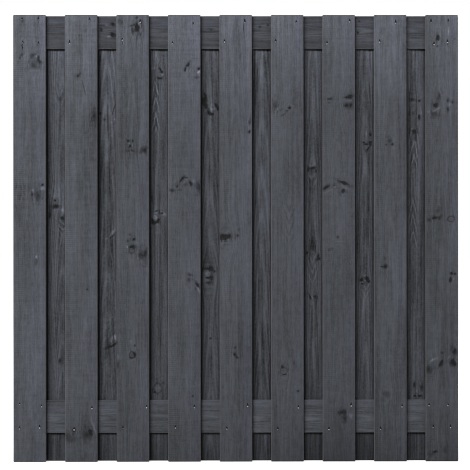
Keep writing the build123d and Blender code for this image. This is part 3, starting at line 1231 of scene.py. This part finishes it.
def upright_board(node, timber, nailed_y, head_y, places, rng):
    """One board with the dents of its nails and its splits, in its node's place."""
    low, high = (Vector(corner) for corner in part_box(node))
    lie = Lie(
        nailed_y=nailed_y, shown_y=low.y, middle=(low.x + high.x) / 2,
        half_width=(high.x - low.x) / 2, start=low.z, end=high.z, upright=True,
    )
    material = StainedWood(f"{node}_stain", timber, lie).finished()
    piece = as_piece(planed_bar(low, high, board_round), f"{node}_planed", material)
    own = [(x, z) for x, z in places if low.x < x < high.x]
    carve(piece, punch_marks(own, nailed_y, head_y, rng))
    for split in timber.splits:
        carve(piece, split_wedge(split, nailed_y, low.y, math.copysign(1, nailed_y - head_y)))
    stands_for(piece, node)


def level_rail(node, timber):
    """One rail, in its node's place."""
    low, high = (Vector(corner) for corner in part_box(node))
    lie = Lie(
        nailed_y=low.y, shown_y=low.y, middle=(low.z + high.z) / 2,
        half_width=(high.z - low.z) / 2, start=low.x, end=high.x, upright=False,
    )
    material = StainedWood(f"{node}_stain", timber, lie).finished()
    stands_for(as_piece(planed_bar(low, high, rail_round), f"{node}_planed", material), node)


def build_panel():
    """Rails, nails and boards. The boards' dents follow the heads of the nails."""
    rng = random.Random(dent_seed)
    steel = nail_steel()
    heads = {"front": [], "back": []}
    depths = {}
    for rail, timber in rail_timbers.items():
        level_rail(rail, timber)
        for side in heads:
            node = f"{rail}_{side}_nails"
            low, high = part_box(node)
            head_y, point_y = (low[1], high[1]) if side == "front" else (high[1], low[1])
            places = head_places(node)
            heads[side] += places
            depths[side] = head_y
            stands_for(drive_nails(f"{node}_driven", places, head_y, point_y, steel), node)
    for node, timber in front_timbers.items():
        upright_board(node, timber, cad_low.y, depths["front"], heads["front"], rng)
    for node, timber in back_timbers.items():
        upright_board(node, timber, cad_high.y, depths["back"], heads["back"], rng)


# Stage, light and camera

def pale_floor():
    """A wide white floor, with a painted shadow where the panel stands on it."""
    half_side = 60
    painted_shadow_within = 0.5
    finish = Finish("pale_floor")
    x, y, z = finish.point_parts()
    beyond = (abs(x) - cad_high.x).at_least(0)
    reach = (beyond ** 2 + y ** 2).root().rise(0.0, painted_shadow_within)
    # Painted shadow: the glow is dimmer near where the panel stands
    glow = finish.blend(reach, (0.80, 0.80, 0.80, 1), (1, 1, 1, 1))
    shine = finish.node("ShaderNodeEmission", None, {"Color": glow, "Strength": 1.0})
    matt = finish.node("ShaderNodeBsdfDiffuse", None, {"Color": (0.3, 0.3, 0.3, 1)})
    both = finish.node("ShaderNodeAddShader", None, {0: shine, 1: matt})
    finish.node("ShaderNodeOutputMaterial", None, {"Surface": both})
    bm = bmesh.new()
    bmesh.ops.create_grid(bm, x_segments=1, y_segments=1, size=half_side)
    floor = as_piece(bm, "floor", finish.material)
    floor.visible_diffuse = False


def white_room():
    """White all round as the camera sees it, and dim as a light."""
    lit, seen = 0.02, 1.0
    world = bpy.data.worlds.new("room")
    bpy.context.scene.world = world
    world.use_nodes = True
    nodes, links = world.node_tree.nodes, world.node_tree.links
    nodes.clear()
    ray = nodes.new("ShaderNodeLightPath")
    mix = nodes.new("ShaderNodeMixShader")
    links.new(ray.outputs["Is Camera Ray"], mix.inputs[0])
    for slot, strength in ((1, lit), (2, seen)):
        glow = nodes.new("ShaderNodeBackground")
        glow.inputs["Color"].default_value = (1, 1, 1, 1)
        glow.inputs["Strength"].default_value = strength
        links.new(glow.outputs[0], mix.inputs[slot])
    links.new(mix.outputs[0], nodes.new("ShaderNodeOutputWorld").inputs["Surface"])


def soft_box(name, place, width, height, power):
    """A rectangular light at a place, turned to the middle of the panel."""
    lamp = bpy.data.lights.new(name, "AREA")
    lamp.shape = "RECTANGLE"
    lamp.size = width
    lamp.size_y = height
    lamp.energy = power
    light = bpy.data.objects.new(name, lamp)
    light.location = place
    aim = Vector((0, 0, middle_z)) - Vector(place)
    light.rotation_euler = aim.to_track_quat("-Z", "Y").to_euler()
    bpy.context.scene.collection.objects.link(light)


def lights():
    soft_box("key", (-5.9, -9.0, 6.4), width=9.0, height=2.2, power=1800)
    soft_box("side_fill", (2.0, -1.8, 2.0), width=0.8, height=0.8, power=17)
    soft_box("rear_key", (2.9, 6.2, 3.6), width=3.0, height=1.6, power=620)


def camera():
    """Square to the front but for its slight yaw and roll, and shifted to the photo's middle."""
    lens = bpy.data.cameras.new("camera")
    lens.sensor_width = sensor_width
    lens.lens = sensor_width * camera_distance / (metres_per_pixel * photo_side)
    lens.shift_x = (photo_side / 2 - photo_middle_x) / photo_side
    lens.shift_x += lens.lens / sensor_width * math.tan(camera_yaw)
    lens.shift_y = (photo_middle_y - photo_side / 2) / photo_side
    seat = bpy.data.objects.new("camera", lens)
    seat.location = (0, front_y - camera_distance, middle_z)
    seat.rotation_euler = (math.radians(90), camera_roll, camera_yaw)
    bpy.context.scene.collection.objects.link(seat)
    bpy.context.scene.camera = seat


bpy.context.scene.view_settings.view_transform = "Standard"
bpy.context.scene.cycles.filter_width = 1.0
build_panel()
pale_floor()
white_room()
lights()
camera()
